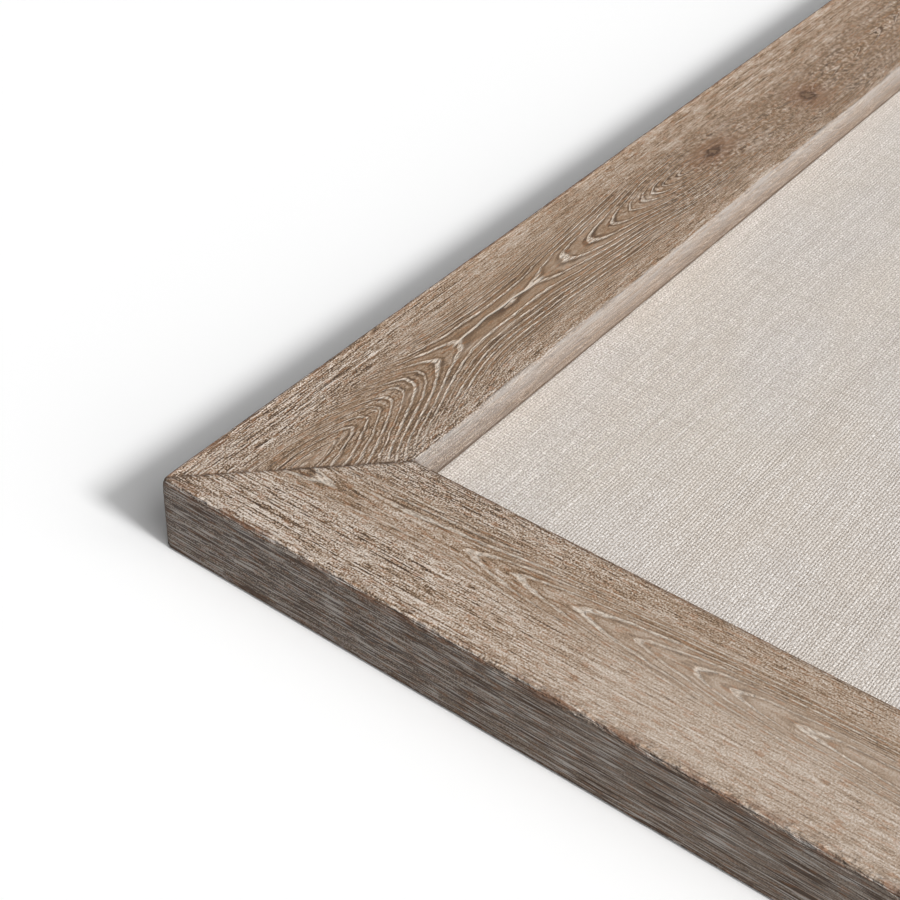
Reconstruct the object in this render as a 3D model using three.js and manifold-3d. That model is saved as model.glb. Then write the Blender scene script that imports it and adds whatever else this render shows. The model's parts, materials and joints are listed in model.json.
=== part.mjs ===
// A framed linen pin board, lying on its back with its face up.
// Millimetres, +Z up. The origin is the middle of the back: X runs across the board,
// Y runs up it, and Z runs from the back of the frame (0) to its front.
//
// Four mitred oak rails are held together by V nails. A panel of fibreboard and cork,
// wrapped in linen, drops into the rebate from behind and is kept there by flexible
// points. Four strap hangers with swinging rings are let into the backs of the rails.

import * as THREE from "three";
import { mergeVertices } from "three/addons/utils/BufferGeometryUtils.js";
import Module from "manifold-3d";

const wasm = await Module();
wasm.setup();

// Board and frame moulding
const boardWidth = 610;
const boardHeight = 457;
const railWidth = 38;
const railDepth = 19;
const lipDepth = 8.5; // front of the frame down to the linen
const lipOverhang = 8; // how far the lip reaches over the edge of the panel
const frontArris = 1.6; // rounding of the outer front edge
const sightArris = 0.9; // rounding of the edge beside the linen
const backArris = 0.7; // easing of the outer back edge
const rebateArris = 0.4; // easing of the back edge of the rebate
const mitreGap = 0.3;

// Panel in the rebate, from the front to the back
const linenThickness = 0.7;
const corkThickness = 4;
const coreThickness = 2.5;
const layerGap = 0.1; // between one layer and the next, and between panel and lip
const panelPlay = 1; // between the edge of the panel and the wall of the rebate
const turnover = 26; // linen folded onto the back of the core
const foldRadius = 1.2; // upright edges of the wrapped panel

// V nails, two across the back of each mitre
const nailStock = 0.6;
const nailLeg = 5.5;
const nailCurl = 1.3; // turned-out end of each leg
const nailHeight = 10;
const nailSetback = 0.3; // top of the nail below the back of the frame
const outerNailInset = 9; // apex from the outer edges of the two rails
const innerNailInset = 21;
const nailClearance = 0.15;

// Flexible points, driven into the wall of the rebate behind the panel
const pointWidth = 6.5;
const pointStock = 0.6;
const pointDriven = 6.5;
const pointExposed = 9;
const pointTip = 3; // length of the driven taper
const pointLift = 1.1; // rise of the bent free end off the panel
const pointBend = 5; // length of the bent free end
const pointClearance = 0.1;
const longSidePointShares = [0.13, 0.38, 0.62, 0.87];
const shortSidePointShares = [0.17, 0.5, 0.83];

// Strap hanger: a folded strap, a D ring and a pan-head screw in a routed pocket
const wireDiameter = 2.2;
const ringWidth = 20; // over the arms
const ringArm = 5; // straight part of each arm, from the axis of the ring
const ringCorner = 2; // bend at each end of the bar, on the centreline of the wire
const ringButt = 0.6; // gap between the ends of the wire, inside the strap
const strapStock = 0.9;
const strapWidth = 11;
const strapTail = 17; // axis of the ring to the tail of the strap
const strapNeck = 4.5; // axis of the ring to where the two layers meet
const strapCorner = 3;
const eyeClearance = 0.2; // between the wire and the fold of the strap
const screwDiameter = 3.5;
const screwLength = 11;
const screwTip = 3.5;
const headDiameter = 7;
const headHeight = 2;
const headEdge = 0.6; // upright rim of the pan head
const driveWidth = 0.9; // cross recess in the head
const driveSpan = 3.6;
const driveDepth = 1.1;
const screwInset = 6; // centre of the screw from the tail of the strap
const holeClearance = 0.25;
const pocketPlay = 1.4; // round the ring and the strap
const pocketFloorGap = 0.1; // between the strap and the floor of the pocket
const pocketCorner = 3;
const pocketRelief = 0.5; // eye of the strap below the back of the frame
const hangerCentre = 15; // ring and strap from the outer edge of the rail
const upperHangerDrop = 118; // ring axis from the top edge, to hang the board wide
const sideHangerDrop = 142; // ring axis from the right edge, to hang the board tall

const overrun = 1; // how far a cutter passes the face it enters

// Sizes that follow
const rebateDepth = railDepth - lipDepth;
const rebateWall = railWidth - lipOverhang;
const eyeRadius = wireDiameter / 2 + eyeClearance;
const foldOuter = eyeRadius + strapStock;
const pocketDepth = 2 * foldOuter + pocketRelief + pocketFloorGap;
const ringAxisHeight = pocketRelief + foldOuter;
const strapSeat = pocketDepth - pocketFloorGap;
const ringBend = (ringWidth - wireDiameter) / 2;
const ringReach = ringArm + ringBend + wireDiameter / 2;
const linenFront = rebateDepth - layerGap;
const corkFront = linenFront - linenThickness - layerGap;
const coreFront = corkFront - corkThickness - layerGap;
const coreBack = coreFront - coreThickness;
const linenBack = coreBack - layerGap - linenThickness;
const pointFront = linenBack - layerGap;

const finishes = {
  limedOak: { color: 0xa08c7a, roughness: 0.85, metalness: 0 },
  linen: { color: 0xcdc4bc, roughness: 0.95, metalness: 0 },
  cork: { color: 0xb08a5e, roughness: 0.9, metalness: 0 },
  fibreboard: { color: 0x6f5238, roughness: 0.8, metalness: 0 },
  zincPlate: { color: 0xb9bcc0, roughness: 0.35, metalness: 1 },
};

function piece(name, geometry, finish) {
  const mesh = new THREE.Mesh(geometry, new THREE.MeshStandardMaterial(finishes[finish]));
  mesh.name = name;
  return mesh;
}

// Solids for joining and cutting

function solid(geometry) {
  const plain = geometry.clone();
  plain.deleteAttribute("normal");
  plain.deleteAttribute("uv");
  const merged = mergeVertices(plain, 1e-4);
  const corners = merged.index.array;
  const faces = [];
  for (let i = 0; i < corners.length; i += 3) {
    const [a, b, c] = [corners[i], corners[i + 1], corners[i + 2]];
    if (a !== b && b !== c && c !== a) faces.push(a, b, c);
  }
  return new wasm.Manifold(
    new wasm.Mesh({
      numProp: 3,
      vertProperties: merged.attributes.position.array,
      triVerts: new Uint32Array(faces),
    }),
  );
}

function surface(manifold) {
  const mesh = manifold.getMesh();
  const geometry = new THREE.BufferGeometry();
  geometry.setAttribute("position", new THREE.BufferAttribute(mesh.vertProperties, 3));
  geometry.setIndex(new THREE.BufferAttribute(mesh.triVerts, 1));
  const faceted = geometry.toNonIndexed();
  faceted.computeVertexNormals();
  return faceted;
}

function cut(geometry, cutters) {
  const whole = cutters.reduce((rest, cutter) => rest.subtract(solid(cutter)), solid(geometry));
  return surface(whole);
}

function common(first, second) {
  return surface(solid(first).intersect(solid(second)));
}

function moved(geometry, x, y, z) {
  return geometry.clone().translate(x, y, z);
}

// Outlines

// A closed outline through corners, each given as [x, y, radius].
function roundedOutline(corners) {
  const shape = new THREE.Shape();
  corners.forEach(([x, y, radius], i) => {
    const before = corners[(i + corners.length - 1) % corners.length];
    const after = corners[(i + 1) % corners.length];
    const corner = new THREE.Vector2(x, y);
    const towardBefore = new THREE.Vector2(before[0], before[1]).sub(corner).normalize();
    const towardAfter = new THREE.Vector2(after[0], after[1]).sub(corner).normalize();
    const halfAngle = Math.acos(towardBefore.dot(towardAfter)) / 2;
    const reach = radius / Math.tan(halfAngle);
    const start = corner.clone().addScaledVector(towardBefore, reach);
    const end = corner.clone().addScaledVector(towardAfter, reach);
    if (i === 0) shape.moveTo(start.x, start.y);
    else shape.lineTo(start.x, start.y);
    if (radius > 0) {
      const inward = towardBefore.clone().add(towardAfter).normalize();
      const centre = corner.clone().addScaledVector(inward, radius / Math.sin(halfAngle));
      const from = start.clone().sub(centre).angle();
      const to = end.clone().sub(centre).angle();
      const clockwise = towardBefore.cross(towardAfter) > 0;
      shape.absarc(centre.x, centre.y, radius, from, to, clockwise);
    }
  });
  shape.closePath();
  return shape;
}

function roundedRectangle(xLow, yLow, xHigh, yHigh, radius) {
  return roundedOutline([
    [xLow, yLow, radius],
    [xHigh, yLow, radius],
    [xHigh, yHigh, radius],
    [xLow, yHigh, radius],
  ]);
}

// The outline of a strip of even thickness that follows a line of points.
function stripOutline(line, thickness) {
  const side = (sign) =>
    line.map((point, i) => {
      const before = line[Math.max(i - 1, 0)];
      const after = line[Math.min(i + 1, line.length - 1)];
      const into = point.clone().sub(before).normalize();
      const out = after.clone().sub(point).normalize();
      if (i === 0) into.copy(out);
      if (i === line.length - 1) out.copy(into);
      const along = into.clone().add(out).normalize();
      const across = new THREE.Vector2(-along.y, along.x);
      const stretch = 1 / along.dot(into);
      return point.clone().addScaledVector(across, (sign * stretch * thickness) / 2);
    });
  return new THREE.Shape([...side(1), ...side(-1).reverse()]);
}

function extruded(shape, depth, curveSegments = 5) {
  return new THREE.ExtrudeGeometry(shape, { depth, curveSegments, steps: 1, bevelEnabled: false });
}

// An outline in X and Y, raised from one height to another.
function slab(shape, low, high, curveSegments) {
  return extruded(shape, high - low, curveSegments).translate(0, 0, low);
}

// A section in X and Z, extruded across Y about Y = 0.
function crosswise(shape, width, curveSegments) {
  const half = width / 2;
  return extruded(shape, width, curveSegments).rotateX(Math.PI / 2).translate(0, half, 0);
}

function box(xLow, xHigh, yLow, yHigh, low, high) {
  const geometry = new THREE.BoxGeometry(xHigh - xLow, yHigh - yLow, high - low);
  return geometry.translate((xLow + xHigh) / 2, (yLow + yHigh) / 2, (low + high) / 2);
}

function rod(radius, low, high, sides = 20) {
  const geometry = new THREE.CylinderGeometry(radius, radius, high - low, sides);
  return geometry.rotateX(Math.PI / 2).translate(0, 0, (low + high) / 2);
}

// Frame rails. A rail's own frame has X along its outer edge, Y across it towards the
// middle of the board and Z from its back to its front.

function railSection() {
  return roundedOutline([
    [0, 0, backArris],
    [rebateWall, 0, rebateArris],
    [rebateWall, rebateDepth, 0],
    [railWidth, rebateDepth, 0],
    [railWidth, railDepth, sightArris],
    [0, railDepth, frontArris],
  ]);
}

function mitredRail(length) {
  const geometry = extruded(railSection(), length);
  const position = geometry.attributes.position;
  const setback = (mitreGap / 2) * Math.SQRT2;
  for (let i = 0; i < position.count; i++) {
    const [across, height, along] = [position.getX(i), position.getY(i), position.getZ(i)];
    const mitre = across + setback;
    position.setXYZ(i, along > length / 2 ? length - mitre : mitre, across, height);
  }
  return geometry;
}

// V nails

// A V nail with its apex on the mitre, one leg in each rail. Extra is the clearance
// all round it when it is the cutter for its own slot.
function vNail(inset, extra) {
  const curl = nailCurl * Math.SQRT1_2;
  const end = inset + nailLeg;
  const line = [
    new THREE.Vector2(end + curl + extra, inset - curl - extra),
    new THREE.Vector2(end, inset),
    new THREE.Vector2(inset, inset),
    new THREE.Vector2(inset, end),
    new THREE.Vector2(inset - curl - extra, end + curl + extra),
  ];
  const low = extra > 0 ? -overrun : nailSetback;
  const high = nailSetback + nailHeight + extra;
  return slab(stripOutline(line, nailStock + 2 * extra), low, high);
}

function nailSlots(length) {
  return [outerNailInset, innerNailInset].flatMap((inset) => {
    const slot = vNail(inset, nailClearance);
    return [slot, slot.clone().rotateZ(Math.PI / 2).translate(length, 0, 0)];
  });
}

// Flexible points

// A pointed steel strip along Y. Y = 0 is the wall of the rebate, and the free end,
// over the panel, is bent back so that a finger can lift it.
function flexiblePoint() {
  const middle = pointFront - pointStock / 2;
  const bendStart = pointExposed - pointBend;
  const sideLine = [
    new THREE.Vector2(-pointDriven, middle),
    new THREE.Vector2(bendStart, middle),
    new THREE.Vector2(pointExposed, middle - pointLift),
  ];
  const strip = crosswise(stripOutline(sideLine, pointStock), pointWidth).rotateZ(Math.PI / 2);
  const half = pointWidth / 2;
  const shoulder = pointTip - pointDriven;
  const plan = new THREE.Shape();
  plan.moveTo(0, -pointDriven);
  plan.lineTo(half, shoulder);
  plan.lineTo(half, pointExposed - half);
  plan.absarc(0, pointExposed - half, half, 0, Math.PI, false);
  plan.lineTo(-half, shoulder);
  plan.closePath();
  return common(strip, slab(plan, 0, pointFront + overrun, 4));
}

function pointSlot() {
  const half = pointWidth / 2 + pointClearance;
  const driven = pointDriven + pointClearance;
  const low = pointFront - pointStock - pointClearance;
  return box(-half, half, -driven, overrun, low, pointFront + pointClearance);
}

// Strap hangers. A hanger's own frame has the axis of its ring on Y, the ring towards
// +X, the strap towards -X and Z as in the rail.

class FlatCurve extends THREE.Curve {
  constructor(path, height) {
    super();
    this.path = path;
    this.height = height;
  }

  getPoint(share, target = new THREE.Vector3()) {
    const point = this.path.getPoint(share);
    return target.set(point.x, point.y, this.height);
  }
}

function ringPath() {
  const half = ringBend;
  const path = new THREE.Path();
  path.moveTo(0, -ringButt / 2);
  path.lineTo(0, ringCorner - half);
  path.absarc(ringCorner, ringCorner - half, ringCorner, Math.PI, 1.5 * Math.PI, false);
  path.lineTo(ringArm, -half);
  path.absarc(ringArm, 0, half, -Math.PI / 2, Math.PI / 2, false);
  path.lineTo(ringCorner, half);
  path.absarc(ringCorner, half - ringCorner, ringCorner, Math.PI / 2, Math.PI, false);
  path.lineTo(0, ringButt / 2);
  return path;
}

function dRing() {
  const wire = new THREE.Shape();
  wire.absarc(0, 0, wireDiameter / 2, 0, 2 * Math.PI, false);
  const extrudePath = new FlatCurve(ringPath(), ringAxisHeight);
  return new THREE.ExtrudeGeometry(wire, { extrudePath, steps: 56, curveSegments: 4 });
}

function foldedStrap() {
  const plateBack = strapSeat - 2 * strapStock;
  const side = new THREE.Shape();
  side.moveTo(-strapTail, strapSeat);
  side.lineTo(-strapTail, plateBack);
  side.lineTo(-strapNeck, plateBack);
  side.lineTo(-foldOuter / 2, ringAxisHeight - foldOuter * Math.sqrt(3 / 4));
  side.absarc(0, ringAxisHeight, foldOuter, -2 * Math.PI / 3, Math.PI / 2, false);
  side.closePath();
  const eye = new THREE.Path();
  eye.absarc(0, ringAxisHeight, eyeRadius, 0, 2 * Math.PI, true);
  side.holes.push(eye);
  const half = strapWidth / 2;
  const plan = roundedOutline([
    [-strapTail, -half, strapCorner],
    [foldOuter + overrun, -half, 0],
    [foldOuter + overrun, half, 0],
    [-strapTail, half, strapCorner],
  ]);
  const blank = crosswise(side, strapWidth + 2 * overrun, 8);
  const trimmed = common(blank, slab(plan, 0, pocketDepth));
  const hole = rod(screwDiameter / 2 + holeClearance, 0, pocketDepth);
  return cut(trimmed, [moved(hole, screwInset - strapTail, 0, 0)]);
}

function panHeadScrew() {
  const headRadius = headDiameter / 2;
  const shank = screwDiameter / 2;
  const dome = headHeight - headEdge;
  const outline = new THREE.Path();
  outline.moveTo(0, -headHeight);
  outline.quadraticCurveTo(headRadius, -headHeight + dome / 4, headRadius, -headEdge);
  outline.lineTo(headRadius, 0);
  outline.lineTo(shank, 0);
  outline.lineTo(shank, screwLength - screwTip);
  outline.lineTo(0, screwLength);
  const turned = new THREE.LatheGeometry(outline.getPoints(6), 20).rotateX(Math.PI / 2);
  const half = driveSpan / 2;
  const bar = box(-half, half, -driveWidth / 2, driveWidth / 2, -headHeight - overrun, driveDepth - headHeight);
  const driven = cut(turned, [bar, bar.clone().rotateZ(Math.PI / 2)]);
  return driven.translate(screwInset - strapTail, 0, strapSeat - 2 * strapStock);
}

function hangerCutters() {
  const half = ringWidth / 2 + pocketPlay;
  const low = -strapTail - pocketPlay;
  const high = ringReach + pocketPlay;
  const pocket = slab(roundedRectangle(low, -half, high, half, pocketCorner), -overrun, pocketDepth);
  const deep = strapSeat - 2 * strapStock + screwLength + holeClearance;
  const pilot = rod(screwDiameter / 2 + holeClearance, pocketDepth - overrun, deep);
  return [pocket, moved(pilot, screwInset - strapTail, 0, 0)];
}

// One side of the frame with what is fixed to it. The ring of its hanger points along
// the side when towards is 1, and back along it when towards is -1.
function frameSide({ side, length, corner, quarterTurns, pointShares, ringAxis, towards }) {
  const placed = new THREE.Matrix4().makeRotationZ(towards > 0 ? 0 : Math.PI);
  placed.setPosition(ringAxis, hangerCentre, 0);
  const pointPlaces = pointShares.map((share) => share * length);
  const slots = pointPlaces.map((place) => moved(pointSlot(), place, rebateWall, 0));
  const cutters = hangerCutters().map((cutter) => cutter.applyMatrix4(placed));

  const group = new THREE.Group();
  group.position.set(corner[0], corner[1], 0);
  group.rotation.z = (quarterTurns * Math.PI) / 2;
  const rail = cut(mitredRail(length), [...nailSlots(length), ...slots, ...cutters]);
  group.add(piece(`${side}_rail`, rail, "limedOak"));
  group.add(piece(`v_nail_${side}_outer`, vNail(outerNailInset, 0), "zincPlate"));
  group.add(piece(`v_nail_${side}_inner`, vNail(innerNailInset, 0), "zincPlate"));
  pointPlaces.forEach((place, i) => {
    const point = piece(`flexible_point_${side}_${i + 1}`, flexiblePoint(), "zincPlate");
    point.position.set(place, rebateWall, 0);
    group.add(point);
  });

  const hanger = new THREE.Group();
  hanger.applyMatrix4(placed);
  hanger.add(piece(`hanger_strap_${side}`, foldedStrap(), "zincPlate"));
  hanger.add(piece(`hanger_ring_${side}`, dRing(), "zincPlate"));
  hanger.add(piece(`hanger_screw_${side}`, panHeadScrew(), "zincPlate"));
  group.add(hanger);
  return group;
}

// Panel

// A flat layer whose edge lies a given distance inside the outer edge of the board.
function layer(inset, low, high, radius) {
  const x = boardWidth / 2 - inset;
  const y = boardHeight / 2 - inset;
  return slab(roundedRectangle(-x, -y, x, y, radius), low, high);
}

const linenInset = rebateWall + panelPlay;
const boardInset = linenInset + linenThickness + layerGap;

function linenCover() {
  const cavity = layer(linenInset + linenThickness, linenBack + linenThickness, linenFront - linenThickness, 0);
  const window = layer(linenInset + turnover, linenBack - overrun, linenBack + linenThickness + overrun, 0);
  return cut(layer(linenInset, linenBack, linenFront, foldRadius), [cavity, window]);
}

const pinBoard = new THREE.Group();
const halfWidth = boardWidth / 2;
const halfHeight = boardHeight / 2;
[
  {
    side: "bottom",
    length: boardWidth,
    corner: [-halfWidth, -halfHeight],
    quarterTurns: 0,
    pointShares: longSidePointShares,
    ringAxis: boardWidth - sideHangerDrop,
    towards: 1,
  },
  {
    side: "right",
    length: boardHeight,
    corner: [halfWidth, -halfHeight],
    quarterTurns: 1,
    pointShares: shortSidePointShares,
    ringAxis: boardHeight - upperHangerDrop,
    towards: 1,
  },
  {
    side: "top",
    length: boardWidth,
    corner: [halfWidth, halfHeight],
    quarterTurns: 2,
    pointShares: longSidePointShares,
    ringAxis: sideHangerDrop,
    towards: -1,
  },
  {
    side: "left",
    length: boardHeight,
    corner: [-halfWidth, halfHeight],
    quarterTurns: 3,
    pointShares: shortSidePointShares,
    ringAxis: upperHangerDrop,
    towards: -1,
  },
].forEach((side) => pinBoard.add(frameSide(side)));

pinBoard.add(piece("linen_cover", linenCover(), "linen"));
pinBoard.add(piece("cork_sheet", layer(boardInset, corkFront - corkThickness, corkFront, 0), "cork"));
pinBoard.add(piece("fibreboard_core", layer(boardInset, coreBack, coreFront, 0), "fibreboard"));

export default pinBoard;
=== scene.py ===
"""Looks of a framed linen pin board lying on its back: limed oak rails, linen face, steel fittings.

Everything is in metres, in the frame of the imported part: X across the board, Y up it, Z from its
back to its face. Grain and weave are laid out in millimetres, the size at which they are known.
"""

import json
import math

import bmesh
import bpy
import numpy as np
from mathutils import Euler, Matrix, Vector

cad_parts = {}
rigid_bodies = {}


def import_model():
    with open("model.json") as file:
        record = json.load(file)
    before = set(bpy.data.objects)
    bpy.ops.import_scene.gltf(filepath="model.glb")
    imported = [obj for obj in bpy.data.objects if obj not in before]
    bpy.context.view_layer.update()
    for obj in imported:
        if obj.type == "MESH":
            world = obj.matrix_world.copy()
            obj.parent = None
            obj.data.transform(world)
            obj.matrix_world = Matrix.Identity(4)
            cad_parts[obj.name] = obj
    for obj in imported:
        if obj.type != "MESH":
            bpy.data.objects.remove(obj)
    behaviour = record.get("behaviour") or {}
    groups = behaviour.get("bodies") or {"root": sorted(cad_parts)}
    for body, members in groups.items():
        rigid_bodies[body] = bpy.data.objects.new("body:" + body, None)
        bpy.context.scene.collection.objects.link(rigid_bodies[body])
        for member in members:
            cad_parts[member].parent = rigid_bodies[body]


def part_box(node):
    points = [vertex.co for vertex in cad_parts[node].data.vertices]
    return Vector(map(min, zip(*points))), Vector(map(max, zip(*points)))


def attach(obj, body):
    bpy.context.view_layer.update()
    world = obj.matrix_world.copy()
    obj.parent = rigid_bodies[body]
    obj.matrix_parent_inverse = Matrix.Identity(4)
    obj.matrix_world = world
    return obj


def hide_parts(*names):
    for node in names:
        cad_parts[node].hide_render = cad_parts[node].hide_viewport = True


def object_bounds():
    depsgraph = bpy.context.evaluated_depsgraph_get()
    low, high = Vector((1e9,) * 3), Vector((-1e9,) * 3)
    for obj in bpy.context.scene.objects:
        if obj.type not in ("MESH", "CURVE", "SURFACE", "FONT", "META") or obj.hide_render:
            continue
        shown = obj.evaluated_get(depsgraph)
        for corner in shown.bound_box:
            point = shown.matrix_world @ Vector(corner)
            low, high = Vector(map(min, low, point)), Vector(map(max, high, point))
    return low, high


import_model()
cad_low, cad_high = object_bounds()

MM = 0.001
SIDES = ("bottom", "right", "top", "left")

# Camera, placed from the lower left corner of the frame's front in widths of the frame rail
CAMERA_FROM_CORNER = (5.500, -5.005, 6.248)
CAMERA_TILT_DEG = (50.562, -1.796, 36.956)
CAMERA_LENS_MM = 70.75
CAMERA_SENSOR_MM = 36

# Light and floor
KEY_ELEVATION_DEG = 36.5
KEY_AZIMUTH_DEG = -3  # from +X towards +Y
KEY_LIGHTS = (
    # name, strength, spread in degrees
    ("key", 2.75, 12),
    ("key_halo", 1.95, 60),
)
AMBIENT_STRENGTH = 0.12
FLOOR_SIZE = 8
FLOOR_DROP = 0.15 * MM
FLOOR_SEEN = 0.92  # share of light that the floor gives back to the camera
FLOOR_BOUNCED = 0.45  # and to the object
FLOOR_GLOW = 0.08

# Frame rails
LAYER_GAP = 0.1 * MM  # between the linen and the lip
PANEL_PLAY = 1.0 * MM  # between the edge of the panel and the wall of the rebate
MITRE_GAP = 0.16 * MM
FRONT_ARRIS = 1.5 * MM
SIGHT_ARRIS = 0.9 * MM
BACK_ARRIS = 0.7 * MM
REBATE_ARRIS = 0.4 * MM
ARRIS_STEPS = 5
STATION = 2.4 * MM  # along a rail
FINE_STEP = 0.42 * MM  # across its front
SIDE_STEP = 0.5 * MM
HIDDEN_STEP = 4 * MM
END_STATIONS_MM = (0.15, 0.4, 0.9, 1.6)

# Wear of the rails, in millimetres
BRUSHED_MM = 0.06
WAVY_MM = 0.05
ARRIS_WORN_MM = 0.10
ARRIS_UNEVEN_MM = 0.12
NICK_MM = 0.8
MITRE_EASED_MM = 0.14
CORNER_WORN_MM = 0.45
WEAR_REACH_MM = 1.2  # from an arris

# Rings of the wood, in millimetres
RING_SPACING_MM = 0.95
FIGURE_ON_BACK_MM = 15  # as weak there as this far from its line
WOOD_MARKS = ("along", "ring", "around", "off_line", "wear", "seam", "inner_wall", "outer_wall")

# Strap hangers, measured from the axis of the ring
WIRE_DIAMETER = 2.2 * MM
RING_WIDTH = 20 * MM
RING_REACH = 15 * MM
RING_ARM = 5 * MM
RING_CORNER = 2 * MM
RING_BUTT = 0.6 * MM
STRAP_TAIL = 17 * MM
STRAP_WIDTH = 11 * MM
STRAP_STOCK = 0.9 * MM
STRAP_NECK = 4.5 * MM
STRAP_WRAP_DEG = 118  # round the wire, from its side away from the board
STRAP_TAIL_CORNER = 3 * MM
STRAP_EDGE = 0.13 * MM
EYE_CLEARANCE = 0.2 * MM
SCREW_INSET = 6 * MM  # from the tail of the strap
SCREW_RADIUS = 1.75 * MM
SCREW_CORE_RADIUS = 1.2 * MM
SCREW_LENGTH = 11 * MM
SCREW_TIP = 3.5 * MM
SCREW_PITCH = 1.5 * MM
SCREW_RIDGE_SHARE = 0.3  # half of the thread's foot, of the pitch
SCREW_TIP_SHARE = 0.08
SCREW_HOLE_CLEARANCE = 0.25 * MM
DRIVE_SPAN = 4.8 * MM
DRIVE_WIDTH = 1.1 * MM
DRIVE_DEPTH = 1.2 * MM
DRIVE_CORNER = 0.25 * MM
DRIVE_TAPER = (0.6, 0.8)  # along and across each arm
HEAD_HEIGHT = 2.0 * MM
PAN_HEAD_MM = (
    # radius, height
    (0.6, -2.0), (1.3, -1.97), (2.0, -1.87), (2.6, -1.66), (3.05, -1.34), (3.35, -0.95),
    (3.48, -0.6), (3.5, -0.3), (3.46, -0.08), (3.36, 0.0),
)
POCKET_PLAY = 1.4 * MM
POCKET_CORNER = 3 * MM
POCKET_DEPTH = 5 * MM
CUT_OVERRUN = 1 * MM
SLOT_CLEARANCE = 0.12 * MM

# Staples in the turned-over linen
STAPLE_CROWN = 10 * MM
STAPLE_LEG = 3.4 * MM
STAPLE_WIDTH = 0.95 * MM
STAPLE_STOCK = 0.5 * MM
STAPLE_BEND = 0.5 * MM
STAPLE_EDGE = 0.15 * MM
STAPLE_INSET = 16 * MM  # from the edge of the panel
STAPLE_SPACING = 43 * MM
STAPLE_SLANT_DEG = 9
STAPLE_SEED = 5

# Edges of the pieces that keep their own shape
STEEL_EDGE = 0.08 * MM
CORE_EDGE = 0.15 * MM
CORK_EDGE = 0.2 * MM

# Linen
LINEN_THICKNESS = 0.7 * MM
LINEN_STEP = 3 * MM
TURNOVER = 26 * MM
FOLD_RADIUS = 1.0 * MM
FACE_DROP = 0.08 * MM
FACE_SWELL = 0.07 * MM
CORNER_FOLD = 0.55 * MM
CORNER_REACH = 9 * MM
CORNER_ROUNDING = 0.35 * MM
CUT_UNEVEN = 0.3 * MM
THREAD_PITCH_MM = 0.71
CROSS_PITCH_MM = 0.80

rail_low, rail_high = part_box("bottom_rail")
RAIL_WIDTH = rail_high[1] - rail_low[1]
RAIL_DEPTH = rail_high[2] - rail_low[2]
linen_low, linen_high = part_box("linen_cover")
REBATE_DEPTH = linen_high[2] + LAYER_GAP
REBATE_WALL = linen_low[0] - cad_low[0] - PANEL_PLAY
WIDTH_MM = RAIL_WIDTH / MM
DEPTH_MM = RAIL_DEPTH / MM
POCKET_FLOOR_MM = POCKET_DEPTH / MM + 0.2

# Smooth noise in numpy, for shapes

LATTICE = 256


def value_noise(x, y, seed):
    """Smooth noise from -1 to 1 over a lattice one unit apart."""
    lattice = np.random.default_rng(seed).uniform(-1, 1, (LATTICE, LATTICE))
    column, row = np.floor(x).astype(int), np.floor(y).astype(int)
    right, up = x - column, y - row
    right, up = right * right * (3 - 2 * right), up * up * (3 - 2 * up)
    c0, c1 = column % LATTICE, (column + 1) % LATTICE
    r0, r1 = row % LATTICE, (row + 1) % LATTICE
    low = lattice[c0, r0] * (1 - right) + lattice[c1, r0] * right
    high = lattice[c0, r1] * (1 - right) + lattice[c1, r1] * right
    return low * (1 - up) + high * up


def rough_noise(x, y, seed, octaves=3):
    total, weight = 0, 0
    for i in range(octaves):
        scale = 2**i
        total = total + value_noise(x * scale, y * scale, seed + i) / scale
        weight += 1 / scale
    return total / weight


def near(distance, reach):
    return np.exp(-((distance / reach) ** 2))


# Meshes


def link(name, data):
    piece = bpy.data.objects.new(name, data)
    bpy.context.scene.collection.objects.link(piece)
    return piece


def mesh_from(name, vertices, faces):
    mesh = bpy.data.meshes.new(name)
    mesh.from_pydata([tuple(v) for v in vertices], [], faces)
    mesh.update()
    return mesh


def smooth(mesh, degrees=40):
    mesh.polygons.foreach_set("use_smooth", [True] * len(mesh.polygons))
    mesh.set_sharp_from_angle(angle=math.radians(degrees))


def apply_modifiers(piece):
    depsgraph = bpy.context.evaluated_depsgraph_get()
    mesh = bpy.data.meshes.new_from_object(piece.evaluated_get(depsgraph))
    old = piece.data
    piece.modifiers.clear()
    piece.data = mesh
    bpy.data.meshes.remove(old)
    mesh.name = piece.name


def edit_mesh(mesh, change):
    edited = bmesh.new()
    edited.from_mesh(mesh)
    change(edited)
    edited.to_mesh(mesh)
    edited.free()


def outward(edited):
    bmesh.ops.recalc_face_normals(edited, faces=edited.faces)


def merge_doubles(edited):
    bmesh.ops.remove_doubles(edited, verts=edited.verts, dist=0.001 * MM)


def vertex_places(mesh):
    places = np.empty(len(mesh.vertices) * 3)
    mesh.vertices.foreach_get("co", places)
    return places.reshape(-1, 3)


def skin(rows, around):
    """Faces over rows of points, with a cap at each end."""
    faces = []
    for i in range(rows - 1):
        here, there = i * around, (i + 1) * around
        for j in range(around):
            k = (j + 1) % around
            faces.append((here + j, here + k, there + k, there + j))
    last = (rows - 1) * around
    return faces + [tuple(reversed(range(around))), tuple(range(last, last + around))]


def extruded(name, outline, low, high):
    """A prism over a closed outline in the XY plane."""
    vertices = [(x, y, z) for z in (low, high) for x, y in outline]
    return mesh_from(name, vertices, skin(2, len(outline)))


def rounded_rectangle(x_low, y_low, x_high, y_high, radius, steps=6):
    corners = [(x_high, y_high, 0), (x_low, y_high, 1), (x_low, y_low, 2), (x_high, y_low, 3)]
    outline = []
    for x, y, quarter in corners:
        centre_x = x - radius if x == x_high else x + radius
        centre_y = y - radius if y == y_high else y + radius
        for i in range(steps + 1):
            angle = (quarter + i / steps) * math.pi / 2
            outline.append((centre_x + radius * math.cos(angle), centre_y + radius * math.sin(angle)))
    return outline


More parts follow.
